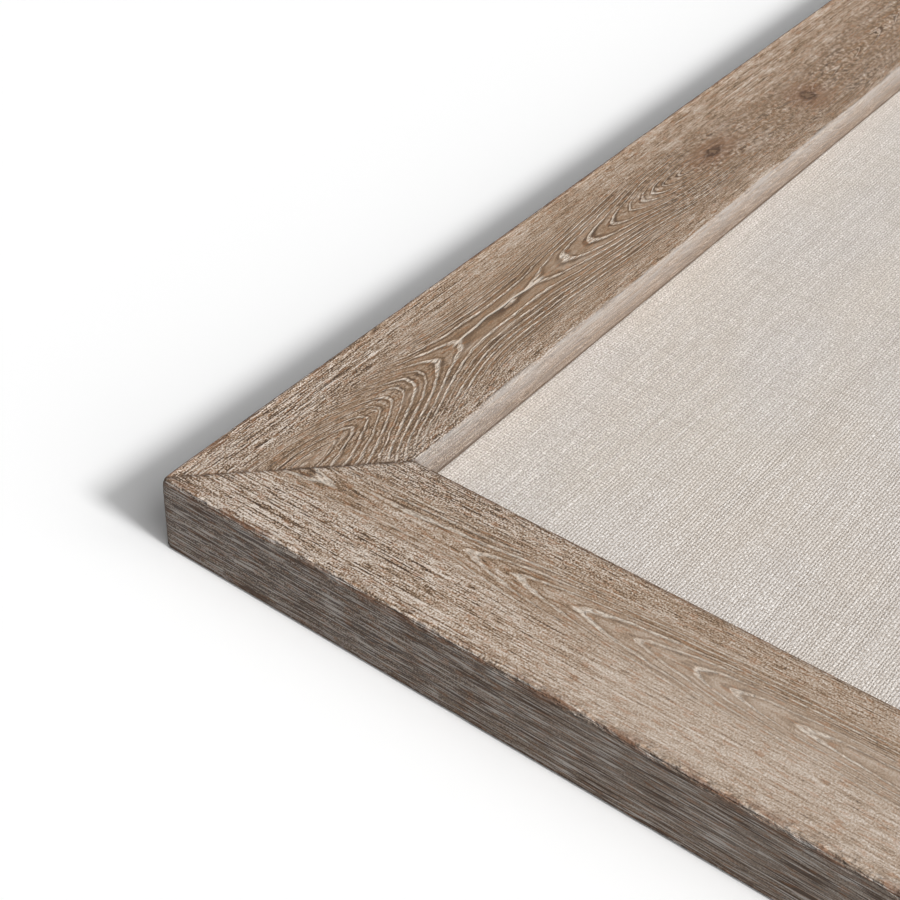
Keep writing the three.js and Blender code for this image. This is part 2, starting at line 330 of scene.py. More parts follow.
def cut_away(piece, cutters):
    for cutter in cutters:
        modifier = piece.modifiers.new("cut", "BOOLEAN")
        modifier.operation = "DIFFERENCE"
        modifier.solver = "EXACT"
        modifier.object = cutter
    apply_modifiers(piece)
    for cutter in cutters:
        bpy.data.meshes.remove(cutter.data)


# Sides of the frame. Each has its own axes: along it, across it from its outer edge, and up.


def side_frame(side):
    """(matrix, length) of the axes of a side."""
    corners = {
        "bottom": (cad_low[0], cad_low[1], 0),
        "right": (cad_high[0], cad_low[1], 0),
        "top": (cad_high[0], cad_high[1], 0),
        "left": (cad_low[0], cad_high[1], 0),
    }
    axis = 0 if side in ("bottom", "top") else 1
    turn = Matrix.Rotation(SIDES.index(side) * math.pi / 2, 4, "Z")
    return Matrix.Translation(corners[side]) @ turn, cad_high[axis] - cad_low[axis]


def hanger_frame(side):
    """Axes of a hanger: from the axis of its ring, with the ring towards +X."""
    low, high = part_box(f"hanger_strap_{side}")
    if side in ("left", "right"):
        axis, turn = ((low[0] + high[0]) / 2, low[1] + STRAP_TAIL, 0), math.pi / 2
    else:
        axis, turn = (low[0] + STRAP_TAIL, (low[1] + high[1]) / 2, 0), 0
    return Matrix.Translation(axis) @ Matrix.Rotation(turn, 4, "Z")


def rail_section():
    """Closed outline of a rail, across and up, starting beside its outer back edge."""
    corners = [
        (0, 0, BACK_ARRIS, HIDDEN_STEP),
        (REBATE_WALL, 0, REBATE_ARRIS, HIDDEN_STEP),
        (REBATE_WALL, REBATE_DEPTH, 0, HIDDEN_STEP),
        (RAIL_WIDTH, REBATE_DEPTH, 0, SIDE_STEP),
        (RAIL_WIDTH, RAIL_DEPTH, SIGHT_ARRIS, FINE_STEP),
        (0, RAIL_DEPTH, FRONT_ARRIS, SIDE_STEP),
    ]
    outline = []
    for i, (x, y, radius, step) in enumerate(corners):
        following = corners[(i + 1) % len(corners)]
        here = np.array((x, y))
        before = np.array(corners[i - 1][:2]) - here
        after = np.array(following[:2]) - here
        reach = np.linalg.norm(after)
        before, after = before / np.linalg.norm(before), after / reach
        if radius:
            centre = here + radius * (before + after)
            for k in range(ARRIS_STEPS):
                turn = (k + 0.5) / ARRIS_STEPS * math.pi / 2
                outline.append(centre - radius * (after * math.cos(turn) + before * math.sin(turn)))
        else:
            outline.append(here)
        flat = reach - radius - following[2]
        count = max(2, round(flat / step))
        first = 0 if radius else 1
        last = count + 1 if following[2] else count
        outline.extend(here + after * (radius + flat * k / count) for k in range(first, last))
    return np.array(outline)


def outline_normals(outline):
    tangent = np.roll(outline, -1, 0) - np.roll(outline, 1, 0)
    tangent /= np.linalg.norm(tangent, axis=1)[:, None]
    return np.c_[tangent[:, 1], -tangent[:, 0]]


def around_mm(v, z):
    """Distance round the section from its front face. Shallow wear leaves it as it was."""
    down = np.maximum(DEPTH_MM - z - CORNER_WORN_MM, 0)
    level = np.where((v < 0.6) & (down > WEAR_REACH_MM), 0, v)
    around = np.where(v < WIDTH_MM / 2, level - down, v + down)
    back = (z < POCKET_FLOOR_MM) & (v > 0.5) & (v < REBATE_WALL / MM + 0.01)
    return np.where(back, -DEPTH_MM - v, around)


def from_mitre(u, v, length):
    return np.minimum(u - v, length / MM - u - v) / math.sqrt(2)


def rail_wear(u, v, z, length, seed):
    """How far a brushed and handled rail falls inside its planed section, in millimetres."""
    around = around_mm(v, z)
    front = near(np.hypot(v, DEPTH_MM - z), 2.0)
    sight = near(np.hypot(WIDTH_MM - v, DEPTH_MM - z), WEAR_REACH_MM)
    back = near(np.hypot(v, z), WEAR_REACH_MM)
    rubbed = np.clip(ARRIS_WORN_MM + ARRIS_UNEVEN_MM * rough_noise(u / 23, around / 40, seed), 0, 1)
    nicks = np.clip(rough_noise(u / 3.5, around / 1.5, seed + 10) - 0.3, 0, 1) ** 1.2
    brushed = 0.5 + 0.5 * rough_noise(u / 16, around / 0.9, seed + 20, 2)
    waves = 0.5 + 0.5 * value_noise(u / 70, around / 11, seed + 30)
    chipped = np.clip(0.45 + 1.1 * rough_noise((u + v) / 4, around / 40, seed + 40), 0, 1.4)
    eased = MITRE_EASED_MM * near(from_mitre(u, v, length), 0.4) * (z > DEPTH_MM - 0.5) * chipped
    corner = CORNER_WORN_MM * near(np.minimum(u, length / MM - u), 0.9) * near(v, 0.9)
    rounded = (front + 0.6 * sight + 0.3 * back) * (rubbed + NICK_MM * nicks)
    exposed = (v < 1e-3) | (z > REBATE_DEPTH / MM + 0.5)
    face = BRUSHED_MM * brushed + WAVY_MM * waves + rounded + eased
    return np.where(exposed, face, 0.3 * back * nicks) + corner


def rail_blank(side, seed):
    """Mitred rail before its back is cut, in the axes of its side."""
    _, length = side_frame(side)
    outline = rail_section()
    normals = outline_normals(outline)
    ends = np.array(END_STATIONS_MM) * MM / length
    stations = round(length / STATION)
    share = np.concatenate([[0], ends, np.arange(1, stations) / stations, 1 - ends[::-1], [1]])

    def between_mitres(across):
        end = across + MITRE_GAP / math.sqrt(2)
        return end + share[:, None] * (length - 2 * end)

    across, up = (np.broadcast_to(column, (len(share), len(outline))) for column in outline.T)
    wear = rail_wear(between_mitres(across) / MM, across / MM, up / MM, length, seed) * MM
    across = across - wear * normals[:, 0]
    places = [between_mitres(across), across, up - wear * normals[:, 1]]
    vertices = np.stack(places, axis=2).reshape(-1, 3)
    return mesh_from(f"{side}_rail_wood", vertices, skin(len(share), len(outline)))


def fitting_slot(node):
    """Cutter in the shape of a steel fitting, a little larger and open to the back of the rail."""
    mesh = bpy.data.objects[node].data.copy()
    edit_mesh(mesh, merge_doubles)
    low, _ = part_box(node)
    places = vertex_places(mesh)
    normals = np.empty(len(mesh.vertices) * 3)
    mesh.vertices.foreach_get("normal", normals)
    places = places + normals.reshape(-1, 3) * SLOT_CLEARANCE
    places[places[:, 2] < low[2] + 0.1 * MM, 2] = -CUT_OVERRUN
    mesh.vertices.foreach_set("co", places.ravel())
    return link(f"slot_{node}", mesh)


def hanger_pocket(side):
    half = RING_WIDTH / 2 + POCKET_PLAY
    low, high = -STRAP_TAIL - POCKET_PLAY, RING_REACH + POCKET_PLAY
    outline = rounded_rectangle(low, -half, high, half, POCKET_CORNER)
    mesh = extruded(f"pocket_{side}", outline, -CUT_OVERRUN, POCKET_DEPTH)
    mesh.transform(hanger_frame(side))
    return link(f"pocket_{side}", mesh)


GRAIN = {
    # Height of the pith above the face and place of its line across the rail, in rail widths from
    # the left or lower end: (place, height in rings), (place, share of the width). The rings are
    # narrowed or widened on each side of that line, and rounded by a power. Knots have a place, a
    # share of the width, a size in mm and how far they are drawn out along the grain.
    "left": {
        "rings": [
            (0, 0.4), (0.63, 0.1), (0.85, 1), (1.02, 2), (1.13, 3), (1.24, 4), (1.33, 5), (1.44, 6),
            (1.54, 7), (1.63, 8), (1.76, 9), (2.03, 10), (2.4, 10.2), (2.85, 10), (3.2, 9), (3.5, 8),
            (3.78, 7), (4.0, 6), (4.15, 5), (4.27, 4), (4.4, 3), (4.6, 2), (4.75, 1), (5.07, 0.45),
            (5.5, 1.8), (5.9, 1.5), (6.2, 0.6), (6.8, 2), (7.7, 4.5), (8.6, 7), (9.8, 9), (10.8, 8.6),
            (12.1, 5),
        ],
        "centre": [(0, 0.54), (1.2, 0.54), (1.7, 0.53), (2.2, 0.50), (4, 0.50), (5, 0.53), (6.2, 0.64),
                   (8, 0.55), (12, 0.5)],
        "outward": [(0, 0.5), (1, 0.6), (1.6, 0.9), (2.2, 1.25), (2.9, 1.25), (4, 1.1), (12, 1)],
        "inward": [(0, 0.35), (0.8, 0.4), (1.1, 0.6), (1.5, 0.85), (2.2, 1.1), (3, 1.05), (12, 1)],
        "power": [(0, 1.3), (1.05, 1.35), (1.4, 1.8), (1.7, 2), (12, 2)],
        "knots": [(5.02, 0.535, 1.7, 2.6), (6.2, 0.655, 2.5, 1.3)],
    },
    "bottom": {
        "rings": [
            (0, 8), (0.8, 9.9), (1.2, 10.3), (1.69, 10), (1.97, 9), (2.31, 8), (2.66, 7), (3.0, 6),
            (3.2, 5), (3.6, 4), (4.2, 3.2), (5, 2.6), (6, 3.6), (7.5, 5.2), (9, 7.5), (10.5, 9.4),
            (12, 8.6), (13.5, 6.4), (15, 4), (16.1, 3),
        ],
        "centre": [(0, 0.54), (0.8, 0.54), (1.7, 0.59), (4, 0.59), (9, 0.45), (16, 0.55)],
        "outward": [(0, 1)],
        "inward": [(0, 1)],
        "power": [(0, 1.8)],
        "knots": [],
    },
    "right": {
        "rings": [(0, 6), (2, 8.5), (4, 10.4), (5.5, 8.5), (7, 5), (8.5, 3), (10, 5), (12.1, 8)],
        "centre": [(0, 0.3), (4, 0.42), (8, 0.5), (12, 0.4)],
        "outward": [(0, 0.9), (6, 1.2), (12, 1)],
        "inward": [(0, 1), (7, 0.8), (12, 1)],
        "power": [(0, 2), (12, 1.8)],
        "knots": [(8.2, 0.46, 1.8, 1.5)],
    },
    "top": {
        "rings": [
            (0, 14), (2.5, 12), (4.5, 9), (6, 6), (7, 5.2), (8.2, 7), (10, 10), (12.5, 13), (16.1, 15),
        ],
        "centre": [(0, 0.62), (5, 0.55), (8, 0.5), (16, 0.35)],
        "outward": [(0, 1), (7, 1.2), (16, 1)],
        "inward": [(0, 1), (16, 0.9)],
        "power": [(0, 1.8)],
        "knots": [],
    },
}


def along_profile(points, a, scale, softness_mm=2.5):
    """Values at distances along a rail, from (place in rail widths, value) points, rounded off."""
    grid = np.arange(-20, 660, 0.5)
    values = np.interp(grid / WIDTH_MM, [p[0] for p in points], [p[1] for p in points]) * scale
    kernel = near(np.arange(-12, 12.1, 0.5), softness_mm)
    values = np.convolve(np.pad(values, len(kernel) // 2, "edge"), kernel / kernel.sum(), "valid")
    return np.interp(a, grid, values)


def ring_at(side, along, v, z, off_line):
    """Distance from the pith, in millimetres of grown rings."""
    grain = GRAIN[side]
    pith = along_profile(grain["rings"], along, RING_SPACING_MM)
    spread = np.where(off_line < 0, along_profile(grain["outward"], along, 1, 8),
                      along_profile(grain["inward"], along, 1, 8))
    power = along_profile(grain["power"], along, 1, 6)
    ring = (np.abs(off_line * spread)**power + (pith + DEPTH_MM - z)**power) ** (1 / power)
    ring = ring + 0.3 * rough_noise(along / 60, v / 25, 7 + SIDES.index(side))
    for place, share, size, drawn_out in grain["knots"]:
        distance = np.hypot((along - place * WIDTH_MM) / drawn_out, v - share * WIDTH_MM)
        ring = ring + 1.6 * near(distance, size * 2.2)
    return ring


def mark_grain(mesh, side):
    """Store on each vertex where it lies in the wood, for the material."""
    matrix, length = side_frame(side)
    inverse = np.array(matrix.inverted())
    u, v, z = ((vertex_places(mesh) @ inverse[:3, :3].T + inverse[:3, 3]) / MM).T
    along = u if side in ("bottom", "right") else length / MM - u
    off_line = v - along_profile(GRAIN[side]["centre"], along, WIDTH_MM, 8)
    ring = ring_at(side, along, v, z, off_line)
    front = near(np.hypot(v, DEPTH_MM - z), 1.9)
    sight = near(np.hypot(WIDTH_MM - v, DEPTH_MM - z), 1.0) * (0.9 if side == "bottom" else 0.1)
    wear = np.maximum.reduce([front, sight, 0.6 * near(np.hypot(v, z), WEAR_REACH_MM)])
    # Dark edges, painted as shade: along the back outer edge, where the rail meets the floor, and along the
    # bottom rail's sight edge. The left rail's outer top edge, turned from the key light, is darkened as
    # shade and wear.
    edge_shade_and_wear = 2 * near(np.hypot(v, z), 0.8)
    if side == "left":
        edge_shade_and_wear = np.maximum(edge_shade_and_wear, 0.7 * near(v, 0.5) * near(DEPTH_MM - z, 1.6))
    if side == "bottom":
        edge_shade_and_wear = np.maximum(edge_shade_and_wear, 0.9 * near(WIDTH_MM - v, 1.0) * (z > DEPTH_MM - 1.5))
        off_line = off_line * np.where(off_line > 0, 1.8, 1.5)
    off_line = np.where(z < POCKET_FLOOR_MM, FIGURE_ON_BACK_MM, off_line)
    # dark mitre joints, with the painted edge shade above added to them
    seam = near(from_mitre(u, v, length), 0.5) + edge_shade_and_wear
    inner_wall = (v > WIDTH_MM - 1.0) & (z < DEPTH_MM - (1.2 if side == "bottom" else 0.1))
    marks = (along, ring, around_mm(v, z), off_line, wear, seam, inner_wall, v < 0.7)
    for name, values in zip(WOOD_MARKS, marks):
        layer = mesh.attributes.new(name, "FLOAT", "POINT")
        layer.data.foreach_set("value", values.astype(np.float32))


def make_rail(side):
    piece = link(f"{side}_rail_wood", rail_blank(side, 100 * (SIDES.index(side) + 1)))
    piece.data.transform(side_frame(side)[0])
    following = SIDES[(SIDES.index(side) + 1) % len(SIDES)]
    nails = [f"v_nail_{mitre}_{place}" for mitre in (side, following) for place in ("outer", "inner")]
    points = [o.name for o in bpy.data.objects if o.name.startswith(f"flexible_point_{side}")]
    cut_away(piece, [hanger_pocket(side)] + [fitting_slot(name) for name in nails + points])
    mark_grain(piece.data, side)
    smooth(piece.data, 35)
    piece.data.materials.clear()
    piece.data.materials.append(Oak(side).build())
    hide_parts(f"{side}_rail")
    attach(piece, "board")


# Node trees, built by plain calls: an argument is a number, a colour or another call's value


def paint(red, green, blue):
    """A colour as it looks on screen, 0 to 255, for a shader."""
    def linear(value):
        value /= 255
        return value / 12.92 if value <= 0.04045 else ((value + 0.055) / 1.055) ** 2.4
    return (linear(red), linear(green), linear(blue), 1)


class Value:
    """A number or colour in a node tree. Numbers take the signs of arithmetic."""

    def __init__(self, shader, socket):
        self.shader, self.socket = shader, socket

    def __add__(self, other):
        return self.shader.math("ADD", self, other)

    def __mul__(self, other):
        return self.shader.math("MULTIPLY", self, other)

    def __sub__(self, other):
        return self.shader.math("SUBTRACT", self, other)

    def __rsub__(self, other):
        return self.shader.math("SUBTRACT", other, self)

    def __truediv__(self, other):
        return self.shader.math("DIVIDE", self, other)

    def __abs__(self):
        return self.shader.math("ABSOLUTE", self)

    def most(self, other):
        return self.shader.math("MAXIMUM", self, other)

    def centred(self, amount):
        """Noise of the given amount, around 0."""
        return (self - 0.5) * amount

    def ramp(self, low, high, to_low=0.0, to_high=1.0):
        """Smooth step from one number to another between two values."""
        node = self.shader.add("ShaderNodeMapRange", interpolation_type="SMOOTHSTEP")
        for socket, value in zip(node.inputs, (self, low, high, to_low, to_high)):
            self.shader.feed(socket, value)
        return Value(self.shader, node.outputs["Result"])


class Shader:
    def __init__(self, name):
        self.material = bpy.data.materials.new(name)
        self.material.use_nodes = True
        self.tree = self.material.node_tree
        self.tree.nodes.clear()
        self.surface = self.add("ShaderNodeBsdfPrincipled")
        output = self.add("ShaderNodeOutputMaterial")
        self.tree.links.new(self.surface.outputs[0], output.inputs["Surface"])

    def add(self, kind, **settings):
        node = self.tree.nodes.new(kind)
        for key, value in settings.items():
            setattr(node, key, value)
        return node

    def feed(self, socket, value):
        if isinstance(value, Value):
            self.tree.links.new(value.socket, socket)
        else:
            socket.default_value = value

    def made(self, node, output, **inputs):
        """What a node gives out, once its inputs are fed."""
        for name, value in inputs.items():
            self.feed(node.inputs[name], value)
        return Value(self, node.outputs[output])

    def math(self, operation, *values, clamp=False):
        node = self.add("ShaderNodeMath", operation=operation, use_clamp=clamp)
        for socket, value in zip(node.inputs, values):
            self.feed(socket, value)
        return Value(self, node.outputs[0])

    def vector(self, x, y, z=0.0):
        return self.made(self.add("ShaderNodeCombineXYZ"), "Vector", X=x, Y=y, Z=z)

    def attribute(self, name):
        return self.made(self.add("ShaderNodeAttribute", attribute_name=name), "Fac")

    def place_mm(self):
        """Place on the object, in millimetres."""
        apart = self.add("ShaderNodeSeparateXYZ")
        self.feed(apart.inputs[0], self.made(self.add("ShaderNodeTexCoord"), "Object"))
        return [Value(self, output) / MM for output in apart.outputs]

    def noise(self, place, detail=2.0, roughness=0.5, scale=1.0):
        return self.made(self.add("ShaderNodeTexNoise"), "Fac", Vector=self.vector(*place),
                         Scale=scale, Detail=detail, Roughness=roughness)

    def cells(self, place, scale):
        node = self.add("ShaderNodeTexVoronoi")
        return self.made(node, "Distance", Vector=self.vector(*place), Scale=scale)

    def chance(self, value):
        node = self.add("ShaderNodeTexWhiteNoise", noise_dimensions="1D")
        return self.made(node, "Value", W=value)

    def mix(self, factor, a, b):
        node = self.add("ShaderNodeMix", data_type="RGBA")
        for name, value in (("Factor_Float", factor), ("A_Color", a), ("B_Color", b)):
            self.feed(next(s for s in node.inputs if s.identifier == name), value)
        return Value(self, next(s for s in node.outputs if s.identifier == "Result_Color"))

    def painted(self, colour, *layers):
        """A colour with others over it, each given as (how much, colour)."""
        for share, over in layers:
            colour = self.mix(share, colour, over)
        return colour

    def tones(self, value, stops):
        node = self.add("ShaderNodeValToRGB")
        elements = node.color_ramp.elements
        while len(elements) < len(stops):
            elements.new(1.0)
        for element, (place, colour) in zip(elements, stops):
            element.position, element.color = place, colour
        return self.made(node, "Color", Fac=value)

    def relief(self, height, depth):
        return self.made(self.add("ShaderNodeBump"), "Normal", Height=height, Distance=depth)

    def finish(self, inputs):
        for name, value in inputs.items():
            self.feed(self.surface.inputs[name], value)
        return self.material


# Limed oak

OAK_TONES = (
    # share of light, colour
    (0.06, paint(64, 48, 36)),
    (0.24, paint(103, 82, 62)),
    (0.42, paint(142, 118, 95)),
    (0.56, paint(168, 147, 128)),
    (0.70, paint(188, 172, 157)),
    (0.90, paint(216, 204, 193)),
)
OAK_BROWN = paint(138, 112, 88)
OAK_WASH = paint(198, 185, 172)
OAK_LIME = paint(226, 215, 202)
OAK_PORE = paint(74, 56, 43)
OAK_WORN = paint(120, 84, 60)
OAK_FLECK = paint(160, 112, 76)
# darker grey for the outer sides: painted shade for a side turned from the key light, with less lime in the
# side grain
OAK_SIDE_SHADE = paint(124, 119, 116)
OAK_SILVER = paint(204, 196, 189)
OAK_WALL_TOP = paint(158, 152, 147)
OAK_WALL_FOOT = paint(120, 108, 99)
OAK_KNOT = paint(70, 50, 37)
GRAIN_STREAKS = (
    # length and width in mm, strength, shift of the noise
    (34, 0.42, 0.80, 11),
    (8, 0.40, 0.72, 13),
    (2.4, 0.38, 0.8, 17),
)
GRIT_PER_MM = 2.4
GRIT_SHARE = 1.9
OAK_PORES = (
    # length and width in mm, noise at which they start, depth, shift of the noise
    (30, 0.40, 0.64, 0.36, 41),
    (3.2, 0.36, 0.62, 0.34, 45),
)
PORE_EDGE = 0.07

# Stretches over which looks change, in mm from the lower left corner
CONTRAST_STRETCH = (20, 120)
FIRST_RINGS_STRETCH = (58, 74)
WASH_STRETCH = (75, 115)
WAVY_STRETCH = (110, 180)
CURLED_STRETCH = (125, 170)
LINES_STRETCH = (150, 200)

# and in mm from the middle line of the figure
FIGURE_OUTER_EDGE = (-12, -6)
FIGURE_INNER_EDGE = (10, 17)
FIGURE_MIDDLE = (5, 10)

OAK_STAINS = (
    # mark that it follows, length and width in mm, shift and detail of the noise, noise at which it
    # starts and is full, strength, colour
    ("outer_wall", 8, 0.40, 37, 0, 0.55, 0.64, 0.9, OAK_SILVER),
    ("outer_wall", 14, 0.38, 79, 0, 0.55, 0.65, 0.9, OAK_PORE),
    ("open_face", 3, 0.7, 73, 0, 0.60, 0.70, 0.3, OAK_FLECK),
    ("worn_arris", 9, 1.8, 53, 2, 0.48, 0.56, 0.8, OAK_WORN),
)

WALL_FOOT_MM = WIDTH_MM + (RAIL_DEPTH - REBATE_DEPTH) / MM - 0.45
RAIL_LOOKS = {
    # Light of the wood, lime wash, brown of the figure and lime in its rings; contrast of the grain
    # and extra wash away from the lower left corner; change of light towards the linen; where a
    # limed line runs down the middle of the figure, in mm
    "bottom": (0.61, 0.18, 0.6, 0.7, 0.42, 0.2, -0.06, None),
    "right": (0.54, 0.3, 0.8, 0.7, 0.9, 0, 0, None),
    "top": (0.55, 0.35, 0.7, 0.6, 0.9, 0, 0, None),
    "left": (0.53, 0.22, 1.0, 0.75, 0.42, 0, 0, (77, 110)),
}


class Oak(Shader):
    """Wire-brushed oak with white lime in its pores, along the rings of one rail."""

    def __init__(self, side):
        super().__init__(f"limed_oak_{side}")
        (self.tone, self.wash, self.brown, self.lime, self.far_contrast, self.far_wash,
         self.inner_light, self.centre_line) = RAIL_LOOKS[side]
        self.knots = GRAIN[side]["knots"]
        self.seed = 31.7 * (SIDES.index(side) + 1)
        for mark in WOOD_MARKS:
            setattr(self, mark, self.attribute(mark))
        self.open_face = 1 - self.inner_wall
        self.worn_arris = self.wear * self.open_face
        self.from_middle = abs(self.off_line)
        self.middle = self.from_middle.ramp(*FIGURE_MIDDLE, self.brown, 0)
        self.figure = self.off_line.ramp(*FIGURE_OUTER_EDGE) * self.off_line.ramp(*FIGURE_INNER_EDGE, 1, 0.2)
        self.patches = self.streaks(16, 3.6, 43, 2).ramp(0.50, 0.68) * (1 - self.outer_wall * 0.8)
        self.curls = self.noise((self.along * 0.62 + self.seed, self.around * 0.85, 97), 2, 0.7)

    def streaks(self, length, width, shift, detail=0.0, follow=False):
        """Noise drawn out along the grain, or along the rings."""
        x = self.along / length + (self.seed + shift)
        y = (self.ring if follow else self.around) / width + shift
        z = self.around * (0.5 / width) if follow else shift
        return self.noise((x, y, z), detail, 0.6)

    def mixed(self, length, width, shift):
        """Streaks that follow the rings inside the figure."""
        share = self.figure * 0.8
        straight = self.streaks(length, width, shift)
        following = self.streaks(length, width * 0.8, shift + 50, follow=True)
        return straight * (1 - share) + following * share

    def ring_strength(self, phase):
        """How clear each ring is: clearest at the line of the pith and on its inner side."""
        uneven = self.noise((phase * 0.9, self.along * 0.03 + self.seed), 1)
        inner = self.off_line.ramp(1, 3) * self.off_line.ramp(11, 13, 1, 0) * 0.9
        rings = phase.ramp(4, 7, 0.6, 1) * inner.most(phase.ramp(11.3, 12.3, 1, 0.55))
        apex = self.from_middle.ramp(1.5, 4, 0.9, 0)
        fading = self.off_line.ramp(-5, -2, 0.8, 0) * self.along.ramp(*FIRST_RINGS_STRETCH, 1, 0)
        far = self.along.ramp(*LINES_STRETCH, 1, self.far_contrast - 0.2)
        return rings.most(apex) * uneven.ramp(0.35, 0.6, 0.3, 1) * (1 - fading) * far

    def ring_lines(self):
        """(thin limed lines along the rings, beaded where the pores are; their dark sides)"""
        ring = self.ring + self.streaks(40, 7, 3, 2).centred(0.9) + self.streaks(5, 1.6, 5, 1).centred(0.3)
        phase = ring / RING_SPACING_MM
        strength = self.ring_strength(phase)
        width = (strength * 0.2 + 0.1) * self.from_middle.ramp(1, 9, 1, 1.5)
        off_ring = self.math("PINGPONG", phase, 0.5) * 2 / width
        beads = self.streaks(1.8, 0.5, 9, 1).ramp(0.36, 0.58, 0.2, 1)
        line = off_ring.ramp(0.4, 1.15, 1, 0) * beads * self.figure * (strength * 0.6 + 0.4)
        beside = off_ring.ramp(0.8, 1.2) * off_ring.ramp(1.6, 3.0, 1, 0) * self.figure
        if self.centre_line:
            start, end = self.centre_line
            inside = self.along.ramp(start - 3, start) * self.along.ramp(end, end + 3, 1, 0)
            off_centre = abs(self.off_line + self.streaks(16, 9, 51, 1).centred(3))
            line = line.most(off_centre.ramp(0.15, 0.5, 0.9, 0) * inside)
        return line, beside

    def fine_grain(self):
        """Grit, fibres and open pores, around 0."""
        grit = self.noise((self.along * GRIT_PER_MM + self.seed, self.around * GRIT_PER_MM), 1)
        total = grit.centred(GRIT_SHARE)
        for length, width, share, shift in GRAIN_STREAKS:
            total += self.mixed(length, width, shift).centred(share)
        for length, width, low, depth, shift in OAK_PORES:
            total -= self.mixed(length, width, shift).ramp(low, low + PORE_EDGE, 0, depth)
        return total

    def light(self, beside):
        """Light of the wood, as a place in OAK_TONES."""
        contrast = (1 - self.middle * 0.4) * (self.outer_wall * 0.4 + 1)
        contrast *= self.along.ramp(*CONTRAST_STRETCH, 1.15, self.far_contrast)
        contrast *= self.around.ramp(WIDTH_MM * 0.76, WIDTH_MM * 0.84, 1, 1.35)
        light = self.fine_grain() * contrast + self.tone
        light += self.streaks(38, 7, 29, 2).centred(0.12) + self.streaks(140, 1.5, 31, 1).centred(0.12)
        light += self.streaks(7, 1.8, 83, 1).centred(0.5) * self.along.ramp(*WAVY_STRETCH)
        light += self.patches * (self.wash * 0.3)
        light += self.around.ramp(WIDTH_MM * 0.55, WIDTH_MM * 0.8, 0, self.inner_light)
        # the outer sides are darker as painted shade and for less lime; the middle of the figure and the
        # sides of its limed lines are darker wood
        light -= self.outer_wall * 0.15 + self.middle * 0.04 + beside * (0.34 * self.brown)
        if self.knots:
            curled = self.along.ramp(*CURLED_STRETCH) * self.off_line.ramp(8, 13, 1, 0.3)
            light += (self.curls * 1.9 - 1.0) * curled * self.off_line.ramp(-12, -4, 0.2, 1)
        return light

    def knot_layers(self, place, share, size, drawn_out):
        """Brown halo, dark knot with a ragged outline and its paler heart."""
        across = (self.around - share * WIDTH_MM + self.streaks(3.2, 2.2, 67, 2).centred(3)) / size
        lengthwise = (self.along - place * WIDTH_MM + self.curls.centred(6)) / (size * drawn_out)
        distance = self.math("SQRT", across * across + lengthwise * lengthwise)
        uneven = self.streaks(1.8, 1.1, 61, 1).ramp(0.32, 0.5, 0.5, 1)
        return [
            (distance.ramp(1.2, 3.6, 0.45, 0), OAK_WORN),
            (distance.ramp(0.55, 1.3, 0.95, 0) * uneven, OAK_KNOT),
            (distance.ramp(0.25, 0.5, 0.55, 0), OAK_BROWN),
        ]

    def colour(self, light, line):
        warm = self.streaks(22, 4, 47, 2).ramp(0.38, 0.62, 0.25, 1)
        far = self.along.ramp(*WASH_STRETCH) * self.off_line.ramp(4, 10, 1, 0)
        wall = self.mix(self.around.ramp(WIDTH_MM, WIDTH_MM + 7), OAK_WALL_TOP, OAK_WALL_FOOT)
        uneven = self.streaks(9, 0.9, 71, 1).ramp(0.3, 0.7, 0.45, 0.85)
        # painted shade: a dark line at the foot of the rebate wall, where the wall meets the linen
        painted_foot_shade = self.around.ramp(WALL_FOOT_MM - 1.0, WALL_FOOT_MM - 0.3, 0, 0.75)
        layers = [
            (warm * self.figure * (0.5 * self.brown), OAK_BROWN),
            (self.patches * (self.wash * 0.6), OAK_WASH),
            (far * self.far_wash, OAK_WASH),
            (self.inner_wall * uneven, wall),
            # painted shade at the foot of the wall
            (self.inner_wall * painted_foot_shade, OAK_PORE),
            # painted shade and less lime on the outer sides
            (self.outer_wall * 0.35, OAK_SIDE_SHADE),
        ]
        for mark, length, width, shift, detail, low, high, share, stain in OAK_STAINS:
            spots = self.streaks(length, width, shift, detail).ramp(low, high, 0, share)
            layers.append((getattr(self, mark) * spots, stain))
        # dark mitre joints and painted shade along the edges
        seam = self.seam * self.streaks(1.6, 0.8, 59, 1).ramp(0.36, 0.58, 0.3, 1)
        layers += [(line * self.lime, OAK_LIME), (self.math("MINIMUM", seam, 0.9), OAK_PORE)]
        for knot in self.knots:
            layers += self.knot_layers(*knot)
        return self.painted(self.tones(light, OAK_TONES), *layers)

    def build(self):
        line, beside = self.ring_lines()
        light = self.light(beside)
        chips = self.wear * self.noise((self.along * 0.4 + self.seed, self.around * 0.8))
        return self.finish({
            "Normal": self.relief(light * 0.9 - line * 1.4 + chips * 12, 0.14 * MM),
            "Base Color": self.colour(light, line),
            "Roughness": light.ramp(0.2, 0.8, 0.7, 0.88),
            "Specular IOR Level": 0.3,
        })


# Linen


